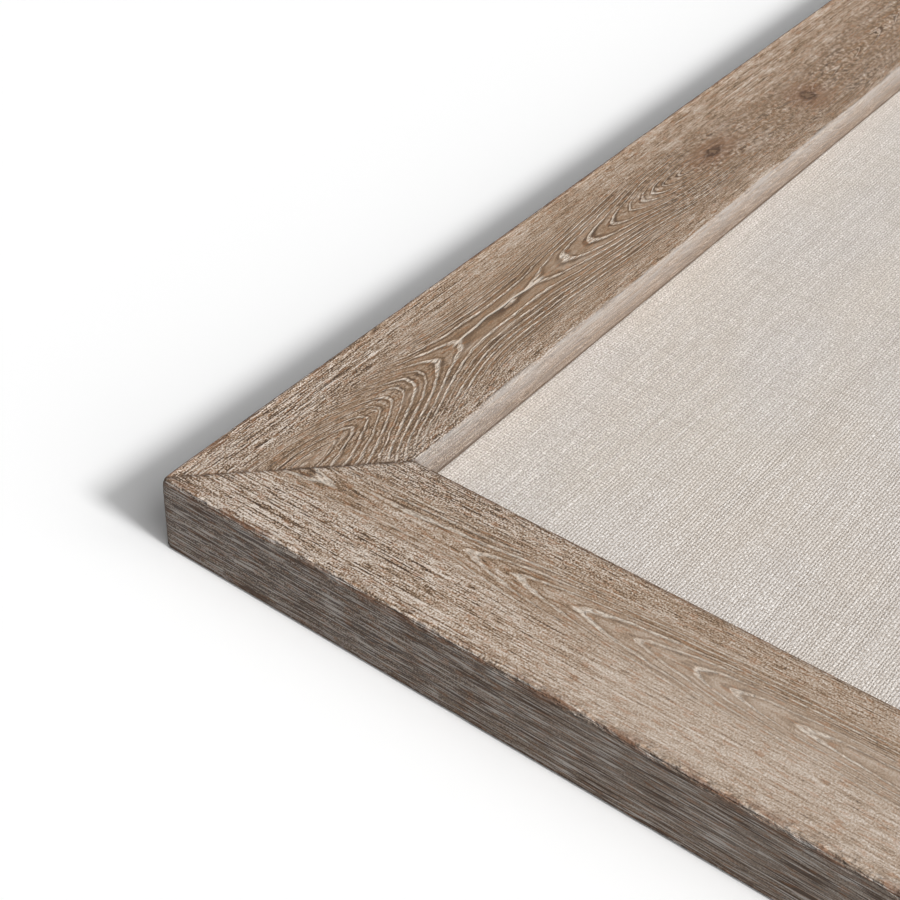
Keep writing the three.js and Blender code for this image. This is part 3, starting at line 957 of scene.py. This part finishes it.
def linen_material():
    """Plain weave with slubs: long threads up the board, finer ones across it."""
    cloth = Shader("linen")
    x, y, _ = cloth.place_mm()
    sway = cloth.noise((x * 0.11, y * 0.03)).centred(1.0)
    swell = cloth.noise((x * 0.03, y * 0.12, 5.0)).centred(1.0)
    jitter = cloth.noise((x * 0.55, y * 0.14, 3.0)).centred(0.7)
    thread = (x + sway + jitter) / THREAD_PITCH_MM
    cross = (y + swell) / CROSS_PITCH_MM

    def round_thread(position, share):
        """(height over the thread's width, its number)"""
        number = cloth.math("FLOOR", position)
        off_middle = abs(position - number - 0.5) / (cloth.chance(number) * 0.25 + share)
        return cloth.math("SUBTRACT", 1, off_middle * off_middle, clamp=True), number

    long_height, long_number = round_thread(thread, 0.44)
    cross_height, cross_number = round_thread(cross, 0.40)
    over = cloth.math("SINE", thread * math.pi) * cloth.math("SINE", cross * math.pi)
    over = over.ramp(-0.5, 0.5)
    height = (long_height * (over * 0.38 + 0.62)).most(cross_height * (over * -0.42 + 0.78))

    slub = cloth.noise((long_number * 3.7 + 0.5, y * 0.055), 3, 0.6)
    cross_slub = cloth.noise((x * 0.05, cross_number * 3.1 + 0.5, 7.0), 3, 0.6)
    fibres = cloth.noise((x * 2.6, y * 2.0), 1, 0.6)
    tint = cloth.noise((x * 0.03, y * 0.018, 11.0))
    crossing = cloth.chance(long_number * 57.31 + cross_number * 1.73)
    return cloth.finish({
        "Normal": cloth.relief(height + slub * 0.35 + fibres * 0.25, 0.12 * MM),
        "Base Color": cloth.painted(
            paint(234, 226, 217),
            (tint.ramp(0.35, 0.65), paint(231, 226, 222)),
            (slub.ramp(0.42, 0.66, 0, 0.7), paint(250, 245, 240)),
            (cross_slub.ramp(0.30, 0.46, 0.35, 0), paint(196, 186, 175)),
            # painted shade: darker in the hollows between threads, where the weave is low
            (height.ramp(0.0, 0.85, 1, 0), paint(144, 131, 119)),
            (fibres.ramp(0.34, 0.58, 0.85, 0), paint(164, 152, 140)),
            (crossing * 0.3, paint(176, 165, 154)),
        ),
        "Roughness": 0.92,
        "Specular IOR Level": 0.25,
        "Sheen Weight": 0.15,
        "Sheen Roughness": 0.5,
    })


def linen_shares(length):
    """Places along a side, from -1 to 1, closer together beside the corners."""
    half = length / 2
    corner = np.array((0, 0.4, 1.0, 1.8)) * MM
    count = round((length - 2 * corner[-1] - LINEN_STEP) / LINEN_STEP)
    middle = np.linspace(-half + corner[-1] + LINEN_STEP / 2, half - corner[-1] - LINEN_STEP / 2, count)
    return np.concatenate([-half + corner, middle, half - corner[::-1]]) / half


def linen_profile():
    """(inset from the panel's edge, height) from the face, over the edge and in across the back."""
    top, bottom, radius = linen_high[2], linen_low[2], FOLD_RADIUS
    turns = [k / 4 * math.pi / 2 for k in range(5)]
    profile = [(radius * (1 - math.sin(turn)), top - radius * (1 - math.cos(turn))) for turn in turns[1:]]
    profile += [(0, top - radius - (top - bottom - 2 * radius) * k / 4) for k in range(1, 4)]
    profile += [(radius * (1 - math.cos(turn)), bottom + radius * (1 - math.sin(turn))) for turn in turns]
    return profile + [(inset, bottom) for inset in np.linspace(radius, TURNOVER, 10)[1:]]


def linen_ring(share, half, inset, height):
    """A closed line round the panel. Share gives its places from -1 to 1 along and up."""
    to_corner = ((1 - np.abs(share)) * half).max(axis=1)
    ring = share * (half - inset - CORNER_ROUNDING * near(to_corner, 0.7 * MM)[:, None])
    level = np.full(len(ring), height)
    if height == linen_low[2]:
        fold = near(to_corner, CORNER_REACH) - near(to_corner, 0.35 * MM)
        level -= CORNER_FOLD * fold + 0.05 * MM * value_noise(*(ring / 0.012).T, 73)
    if inset == TURNOVER:
        ring *= (1 + CUT_UNEVEN / 0.2 * value_noise(*(ring / 0.006).T, 79))[:, None]
    return np.c_[ring, level]


def linen_mesh():
    half = (np.array(linen_high[:2]) - linen_low[:2]) / 2
    shares_x, shares_y = (linen_shares(2 * side) for side in half)
    nx, ny = len(shares_x), len(shares_y)
    x, y = np.meshgrid(shares_x * (half[0] - FOLD_RADIUS), shares_y * (half[1] - FOLD_RADIUS), indexing="ij")
    middle = near(np.maximum(np.abs(x) / half[0], np.abs(y) / half[1]), 0.85)
    swell = FACE_SWELL * value_noise(x / 0.05, y / 0.11, 71) * middle
    rings = [np.stack([x, y, linen_high[2] - FACE_DROP + swell], axis=2).reshape(-1, 3)]
    faces = [(i * ny + j, (i + 1) * ny + j, (i + 1) * ny + j + 1, i * ny + j + 1)
             for i in range(nx - 1) for j in range(ny - 1)]
    cycle = [(i, 0) for i in range(nx - 1)] + [(nx - 1, j) for j in range(ny - 1)]
    cycle += [(i, ny - 1) for i in range(nx - 1, 0, -1)] + [(0, j) for j in range(ny - 1, 0, -1)]
    share = np.array([(shares_x[i], shares_y[j]) for i, j in cycle])
    before = [i * ny + j for i, j in cycle]
    start = nx * ny
    for inset, height in linen_profile():
        rings.append(linen_ring(share, half, inset, height))
        here = range(start, start + len(cycle))
        for k in range(len(cycle)):
            following = (k + 1) % len(cycle)
            faces.append((before[k], here[k], here[following], before[following]))
        before = here
        start += len(cycle)
    return mesh_from("linen_face", np.concatenate(rings), faces)


def make_linen():
    piece = link("linen_face", linen_mesh())
    modifier = piece.modifiers.new("thickness", "SOLIDIFY")
    modifier.thickness = LINEN_THICKNESS
    modifier.offset = -1
    apply_modifiers(piece)
    smooth(piece.data, 60)
    piece.data.materials.clear()
    piece.data.materials.append(linen_material())
    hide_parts("linen_cover")
    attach(piece, "board")


# Fittings

SCREEN_PITCH_MM = 1.6  # of the print on the back of the fibreboard


def swept(name, path, binormal, section, half_widths=None):
    """A bar bent in one plane. Its section is given as (along the normal, along the binormal)."""
    path, section = np.array(path), np.array(section)
    binormal = np.array(binormal, dtype=float)
    tangent = np.gradient(path, axis=0)
    tangent /= np.linalg.norm(tangent, axis=1)[:, None]
    normal = np.cross(binormal, tangent)
    widths = np.ones(len(path)) if half_widths is None else np.array(half_widths)
    rows = (path[:, None] + normal[:, None] * section[None, :, :1]
            + binormal * (widths[:, None, None] * section[None, :, 1:]))
    return mesh_from(name, rows.reshape(-1, 3), skin(len(path), len(section)))


def arc(centre_x, centre_y, radius, start_deg, end_deg, steps):
    angles = np.radians(np.linspace(start_deg, end_deg, steps + 1))
    return [(centre_x + radius * math.cos(a), centre_y + radius * math.sin(a)) for a in angles]


def circle_section(radius, sides):
    return [(radius * math.cos(2 * math.pi * i / sides), radius * math.sin(2 * math.pi * i / sides))
            for i in range(sides)]


def ring_mesh(name, height):
    """D ring: bent wire whose two ends meet inside the strap."""
    half, corner = (RING_WIDTH - WIRE_DIAMETER) / 2, RING_CORNER
    line = [(0, -RING_BUTT / 2), (0, (corner - half) * 0.7)]
    line += arc(corner, corner - half, corner, 180, 270, 10)
    line += arc(RING_ARM, 0, half, -90, 90, 56)
    line += arc(corner, half - corner, corner, 90, 180, 10)
    line += [(0, (half - corner) * 0.7), (0, RING_BUTT / 2)]
    path = [(x, y, height) for x, y in line]
    return swept(name, path, (0, 0, 1), circle_section(WIRE_DIAMETER / 2, 20))


def strap_mesh(name, height, seat):
    """Strap folded round the bar of the ring, with two layers under the screw."""
    fold = WIRE_DIAMETER / 2 + EYE_CLEARANCE + STRAP_STOCK / 2
    front, back = seat - STRAP_STOCK / 2, seat - 1.5 * STRAP_STOCK
    line = [(x, front) for x in np.linspace(-STRAP_TAIL, -fold, 24)]
    line += arc(0, height, fold, 90, -STRAP_WRAP_DEG, 30)
    neck = np.array((-STRAP_NECK, back))
    leave = np.array(line[-1])
    line += [tuple(leave + (neck - leave) * share) for share in (0.3, 0.6, 0.85)]
    line += [(x, back) for x in np.linspace(-STRAP_NECK - 0.5 * MM, -STRAP_TAIL, 20)]
    path = [(x, 0, z) for x, z in line]
    half, stock, edge = STRAP_WIDTH / 2, STRAP_STOCK / 2 - 0.01 * MM, STRAP_EDGE
    thin = [(x, y / half) for x, y in rounded_rectangle(-stock, -half, stock, half, edge, 3)]
    from_tail = np.array([x for x, _ in line]) + STRAP_TAIL
    short = np.clip(STRAP_TAIL_CORNER - from_tail, 0, None)
    widths = half - (STRAP_TAIL_CORNER - np.sqrt(STRAP_TAIL_CORNER**2 - short**2))
    return swept(name, path, (0, 1, 0), thin, widths)


def turned(name, profile, sides):
    """Solid of revolution about Z. The profile gives (radius by angle, height) of each row."""
    vertices = []
    angles = 2 * math.pi * np.arange(sides) / sides
    for radius, height in profile:
        radii = radius(angles) if callable(radius) else np.full(sides, radius)
        vertices += [(r * math.cos(a), r * math.sin(a), height) for r, a in zip(radii, angles)]
    return mesh_from(name, vertices, skin(len(profile), sides))


def thread_radius(height, room):
    """Radius of the thread by angle, at a height up the shank. It runs out towards the tip."""
    def radius(angles):
        turn = (height / SCREW_PITCH - angles / (2 * math.pi)) % 1
        ridge = np.clip(1 - np.abs(turn - 0.5) / SCREW_RIDGE_SHARE, 0, 1)
        return (SCREW_CORE_RADIUS + (SCREW_RADIUS - SCREW_CORE_RADIUS) * ridge) * room
    return radius


def screw_mesh(name):
    """Pan-head screw with its head down and the underside of the head at Z = 0."""
    profile = [(radius * MM, height * MM) for radius, height in PAN_HEAD_MM]
    profile.append((SCREW_CORE_RADIUS, 0))
    for height in np.linspace(0.2 * MM, SCREW_LENGTH, 74):
        from_tip = (SCREW_LENGTH - height) / SCREW_TIP
        room = min(1, SCREW_TIP_SHARE + (1 - SCREW_TIP_SHARE) * from_tip)
        profile.append((thread_radius(height, room), height))
    return turned(name, profile, 28)


def drive_cutters(name):
    """Cross recess, a little wider at the face of the head than at its floor."""
    cutters = []
    low, high = -HEAD_HEIGHT - CUT_OVERRUN, -HEAD_HEIGHT + DRIVE_DEPTH
    half, across = DRIVE_SPAN / 2, DRIVE_WIDTH / 2
    for quarter in range(2):
        outline = rounded_rectangle(-half, -across, half, across, DRIVE_CORNER, 2)
        mesh = extruded(f"{name}_drive_{quarter}", outline, low, high)
        for vertex in mesh.vertices:
            if vertex.co.z > low + 0.1 * MM:
                vertex.co.x *= DRIVE_TAPER[0]
                vertex.co.y *= DRIVE_TAPER[1]
        mesh.transform(Matrix.Rotation(quarter * math.pi / 2, 4, "Z"))
        cutters.append(link(mesh.name, mesh))
    return cutters


def add_fitting(mesh, node, body, matrix, material, cutters=(), degrees=35):
    """Fitting in place of a node, cut in its own axes and then moved to where it belongs."""
    piece = link(mesh.name, mesh)
    edit_mesh(piece.data, outward)
    if cutters:
        cut_away(piece, cutters)
        edit_mesh(piece.data, outward)
    piece.data.transform(matrix)
    smooth(piece.data, degrees)
    piece.data.materials.append(material)
    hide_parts(node)
    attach(piece, body)


def make_hanger(side, steel):
    matrix = hanger_frame(side)
    ring_low, ring_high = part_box(f"hanger_ring_{side}")
    height = (ring_low[2] + ring_high[2]) / 2
    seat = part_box(f"hanger_strap_{side}")[1][2]
    screw_at = Matrix.Translation((SCREW_INSET - STRAP_TAIL, 0, seat - 2 * STRAP_STOCK))
    hole = circle_section(SCREW_RADIUS + SCREW_HOLE_CLEARANCE, 32)
    hole = [(x + SCREW_INSET - STRAP_TAIL, y) for x, y in hole]
    hole_cutter = link("strap_hole", extruded("strap_hole", hole, 0, seat + CUT_OVERRUN))

    ring = ring_mesh(f"d_ring_{side}", height)
    add_fitting(ring, f"hanger_ring_{side}", f"ring_{side}", matrix, steel, degrees=60)
    strap = strap_mesh(f"folded_strap_{side}", height, seat)
    add_fitting(strap, f"hanger_strap_{side}", "board", matrix, steel, [hole_cutter])
    screw = screw_mesh(f"pan_head_screw_{side}")
    cutters = drive_cutters(f"screw_{side}")
    add_fitting(screw, f"hanger_screw_{side}", "board", matrix @ screw_at, steel, cutters)


def staple_mesh(slant):
    """Staple across Z = 0, with its legs up."""
    half, bend, up = STAPLE_CROWN / 2, STAPLE_BEND, STAPLE_LEG
    line = [(-half, up)] + arc(-half + bend, bend, bend, 180, 270, 5)
    line += arc(half - bend, bend, bend, 270, 360, 5) + [(half, up)]
    thick, wide = STAPLE_STOCK / 2, STAPLE_WIDTH / 2
    section = rounded_rectangle(-thick, -wide, thick, wide, STAPLE_EDGE, 2)
    mesh = swept("staple", [(x, 0, z) for x, z in line], (0, 1, 0), section)
    mesh.transform(Matrix.Rotation(math.radians(slant), 4, "Z"))
    return mesh


def make_staples(steel):
    """A row of staples round the linen that is turned over the core."""
    random = np.random.default_rng(STAPLE_SEED)
    joined = bmesh.new()
    level = linen_low[2] - STAPLE_STOCK / 2
    inset = linen_low[0] - cad_low[0] + STAPLE_INSET
    for side in SIDES:
        matrix, length = side_frame(side)
        room = length - 2 * inset - 2 * STAPLE_CROWN
        count = round(room / STAPLE_SPACING)
        for i in range(count + 1):
            place = inset + STAPLE_CROWN + room * i / count + random.uniform(-2, 2) * MM
            across = inset + random.uniform(-1, 1) * MM
            mesh = staple_mesh(random.uniform(-STAPLE_SLANT_DEG, STAPLE_SLANT_DEG))
            mesh.transform(matrix @ Matrix.Translation((place, across, level)))
            joined.from_mesh(mesh)
            bpy.data.meshes.remove(mesh)
    mesh = bpy.data.meshes.new("turnover_staples")
    outward(joined)
    joined.to_mesh(mesh)
    joined.free()
    piece = link("turnover_staples", mesh)
    smooth(mesh, 40)
    mesh.materials.append(steel)
    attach(piece, "board")


def steel_material():
    """Zinc plate: dull, faintly mottled, with fine scuffs."""
    steel = Shader("zinc_plate")
    x, y, z = steel.place_mm()
    mottle = steel.noise((x, y, z), 3, 0.6, 0.9)
    scuffs = steel.noise((x * 0.7, y * 5, z), 2, 0.6).ramp(0.5, 0.72)
    return steel.finish({
        "Normal": steel.relief(scuffs, 0.01 * MM),
        "Base Color": steel.painted(
            paint(186, 188, 190),
            (mottle.ramp(0.35, 0.65), paint(206, 206, 202)),
            (scuffs * 0.35, paint(150, 150, 150)),
        ),
        "Roughness": mottle.ramp(0.3, 0.7, 0.30, 0.44) + scuffs * 0.12,
        "Metallic": 1,
    })


def fibreboard_material():
    """Hardboard: matted brown fibres with the print of the press screen."""
    board = Shader("fibreboard")
    x, y, z = board.place_mm()
    fibres = board.noise((x, y, z), 4, 0.7, 0.9)
    clumps = board.noise((x, y, z), 2, 0.5, 0.12)
    shreds = board.noise((x * 2.6, y * 0.9, z)).ramp(0.56, 0.7)
    columns, rows = (board.math("PINGPONG", side / SCREEN_PITCH_MM, 0.5).ramp(0.34, 0.48) for side in (x, y))
    screen = columns.most(rows)
    return board.finish({
        "Normal": board.relief(fibres - screen * 0.8, 0.15 * MM),
        "Base Color": board.painted(
            paint(112, 82, 56),
            (fibres.ramp(0.35, 0.65), paint(152, 118, 84)),
            (clumps.ramp(0.35, 0.65, 0, 0.35), paint(134, 98, 64)),
            (shreds * 0.4, paint(178, 146, 110)),
            (screen * 0.3, paint(84, 62, 44)),
        ),
        "Roughness": 0.85,
    })


def cork_material():
    """Pressed cork granules."""
    cork = Shader("cork")
    place = cork.place_mm()
    cell = cork.cells(place, 0.45)
    shade = cork.noise(place, 2, 0.6, 0.4)
    specks = cork.noise(place, 1, 0.5, 1.4)
    return cork.finish({
        "Normal": cork.relief(cell, 0.2 * MM),
        "Base Color": cork.painted(
            paint(176, 134, 88),
            (shade.ramp(0.35, 0.65), paint(206, 168, 120)),
            (cell.ramp(0.5, 0.75, 0, 0.5), paint(134, 94, 58)),
            (specks.ramp(0.62, 0.72, 0, 0.7), paint(82, 54, 36)),
        ),
        "Roughness": 0.9,
    })


def dress_nodes(prefixes, material, edge):
    """Give CAD nodes a material and eased edges."""
    for node in [o for o in bpy.data.objects if o.name.startswith(prefixes)]:
        for material_slot in node.material_slots:
            material_slot.material = material
        bevel = node.modifiers.new("eased", "BEVEL")
        bevel.width = edge
        bevel.segments = 2
        bevel.limit_method = "ANGLE"
        bevel.angle_limit = math.radians(40)


# Camera, light and floor


def add_camera():
    data = bpy.data.cameras.new("camera")
    data.lens = CAMERA_LENS_MM
    data.sensor_width = CAMERA_SENSOR_MM
    data.clip_end = 20
    camera = link("camera", data)
    corner = Vector((cad_low[0], cad_low[1], cad_high[2]))
    camera.location = corner + Vector(CAMERA_FROM_CORNER) * RAIL_WIDTH
    camera.rotation_euler = Euler([math.radians(a) for a in CAMERA_TILT_DEG], "XYZ")
    bpy.context.scene.camera = camera


def add_key_light(name, strength, spread_deg):
    data = bpy.data.lights.new(name, "SUN")
    data.energy = strength
    data.angle = math.radians(spread_deg)
    elevation, azimuth = math.radians(KEY_ELEVATION_DEG), math.radians(KEY_AZIMUTH_DEG)
    towards = Vector((math.cos(elevation) * math.cos(azimuth),
                      math.cos(elevation) * math.sin(azimuth), math.sin(elevation)))
    link(name, data).rotation_euler = towards.to_track_quat("Z", "Y").to_euler()


def background_rays(tree):
    """1 for the rays that show a background: camera, glossy and transmission rays."""
    path = tree.nodes.new("ShaderNodeLightPath")
    total = path.outputs["Is Camera Ray"]
    for name in ("Is Glossy Ray", "Is Transmission Ray"):
        either = tree.nodes.new("ShaderNodeMath")
        either.operation = "MAXIMUM"
        tree.links.new(total, either.inputs[0])
        tree.links.new(path.outputs[name], either.inputs[1])
        total = either.outputs[0]
    return total


def add_world():
    world = bpy.data.worlds.new("studio")
    bpy.context.scene.world = world
    world.use_nodes = True
    tree = world.node_tree
    background = tree.nodes["Background"]
    background.inputs["Color"].default_value = (1, 1, 1, 1)
    strength = tree.nodes.new("ShaderNodeMapRange")
    strength.inputs["To Min"].default_value = AMBIENT_STRENGTH
    strength.inputs["To Max"].default_value = 1
    tree.links.new(background_rays(tree), strength.inputs["Value"])
    tree.links.new(strength.outputs[0], background.inputs["Strength"])


def add_floor():
    half = FLOOR_SIZE / 2
    corners = ((-half, -half), (half, -half), (half, half), (-half, half))
    mesh = mesh_from("floor", [(x, y, -FLOOR_DROP) for x, y in corners], [(0, 1, 2, 3)])
    floor = link("floor", mesh)
    shader = Shader("floor")
    seen = Value(shader, background_rays(shader.tree))
    bounced, shown = ((share, share, share, 1) for share in (FLOOR_BOUNCED, FLOOR_SEEN))
    floor.data.materials.append(shader.finish({
        "Base Color": shader.mix(seen, bounced, shown),
        "Roughness": 1,
        "Specular IOR Level": 0,
        "Emission Color": (1, 1, 1, 1),
        "Emission Strength": seen * FLOOR_GLOW,
    }))


bpy.context.scene.view_settings.view_transform = "Standard"
add_camera()
for key_light in KEY_LIGHTS:
    add_key_light(*key_light)
add_world()
add_floor()

for side in SIDES:
    make_rail(side)
make_linen()
steel = steel_material()
for side in SIDES:
    make_hanger(side, steel)
make_staples(steel)
dress_nodes(("v_nail_", "flexible_point_"), steel, STEEL_EDGE)
dress_nodes("fibreboard_core", fibreboard_material(), CORE_EDGE)
dress_nodes("cork_sheet", cork_material(), CORK_EDGE)
